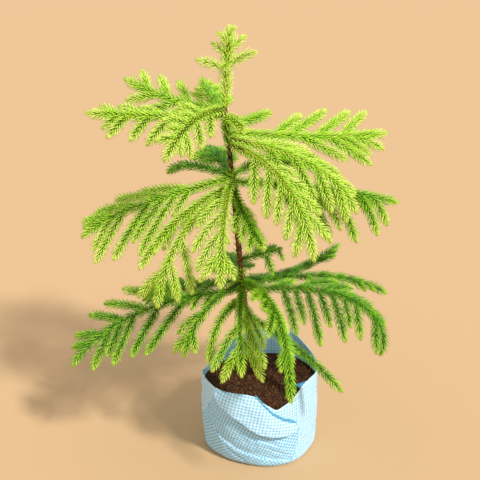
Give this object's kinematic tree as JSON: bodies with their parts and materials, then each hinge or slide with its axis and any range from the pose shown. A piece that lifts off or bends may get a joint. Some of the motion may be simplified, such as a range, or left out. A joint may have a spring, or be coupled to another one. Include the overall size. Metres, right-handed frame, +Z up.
{
  "type": "potted norfolk island pine",
  "caption": "Young conifer with a leaning trunk, tiers of drooping needled boughs and a budding leader, in a folded checked cloth bag of soil.",
  "frame": {"origin": "middle of the bag's flat underside", "axes": "+Z up from the underside to the leader's tip, -Y to the front where the mouth of the bag dips, the trunk leans to -X"},
  "size_m": [0.4018, 0.3331, 0.5279],
  "materials": {
    "bag": "matte",
    "soil": "matte",
    "bark": "matte",
    "fresh_needles": "satin",
    "old_needles": "satin"
  },
  "bodies": {
    "root": {"bag": "bag", "soil": "soil", "trunk": "bark", "limb_upper_left": "bark", "limb_upper_front_left": "bark", "limb_upper_back_left": "bark", "limb_crown_front_right": "bark", "limb_crown_right_front": "bark", "limb_crown_right": "bark", "limb_middle_left": "bark", "limb_middle_left_front": "bark", "limb_middle_front_left": "bark", "limb_middle_front": "bark", "limb_middle_front_right": "bark", "limb_middle_right": "bark", "limb_middle_right_back": "bark", "limb_middle_back": "bark", "limb_lower_left": "bark", "limb_lower_back_left": "bark", "limb_lower_front_left": "bark", "limb_lower_front": "bark", "limb_lower_front_right": "bark", "limb_lowest_right": "bark", "limb_lower_right": "bark", "limb_lower_right_back": "bark", "limb_lower_back_right": "bark", "limb_lower_back": "bark", "needles_leader": "fresh_needles", "needles_upper_left": "fresh_needles", "needles_upper_front_left": "fresh_needles", "needles_upper_back_left": "fresh_needles", "needles_upper_back": "fresh_needles", "needles_upper_back_right": "fresh_needles", "needles_upper_front_short": "fresh_needles", "needles_crown_front_right": "fresh_needles", "needles_crown_right_front": "fresh_needles", "needles_crown_right": "fresh_needles", "needles_middle_left": "old_needles", "needles_middle_left_front": "old_needles", "needles_middle_front_left": "old_needles", "needles_middle_front": "old_needles", "needles_middle_front_right": "old_needles", "needles_middle_right": "old_needles", "needles_middle_right_back": "old_needles", "needles_middle_back_left": "old_needles", "needles_middle_back": "old_needles", "needles_lower_left": "old_needles", "needles_lower_back_left": "old_needles", "needles_lower_front_left": "old_needles", "needles_lower_front_twig": "old_needles", "needles_lower_front": "old_needles", "needles_lower_front_right": "old_needles", "needles_lowest_right": "old_needles", "needles_lower_right": "old_needles", "needles_lower_right_back": "old_needles", "needles_lower_back_right": "old_needles", "needles_lower_back": "old_needles", "needles_lower_twig": "old_needles"}
  },
  "joints": []
}
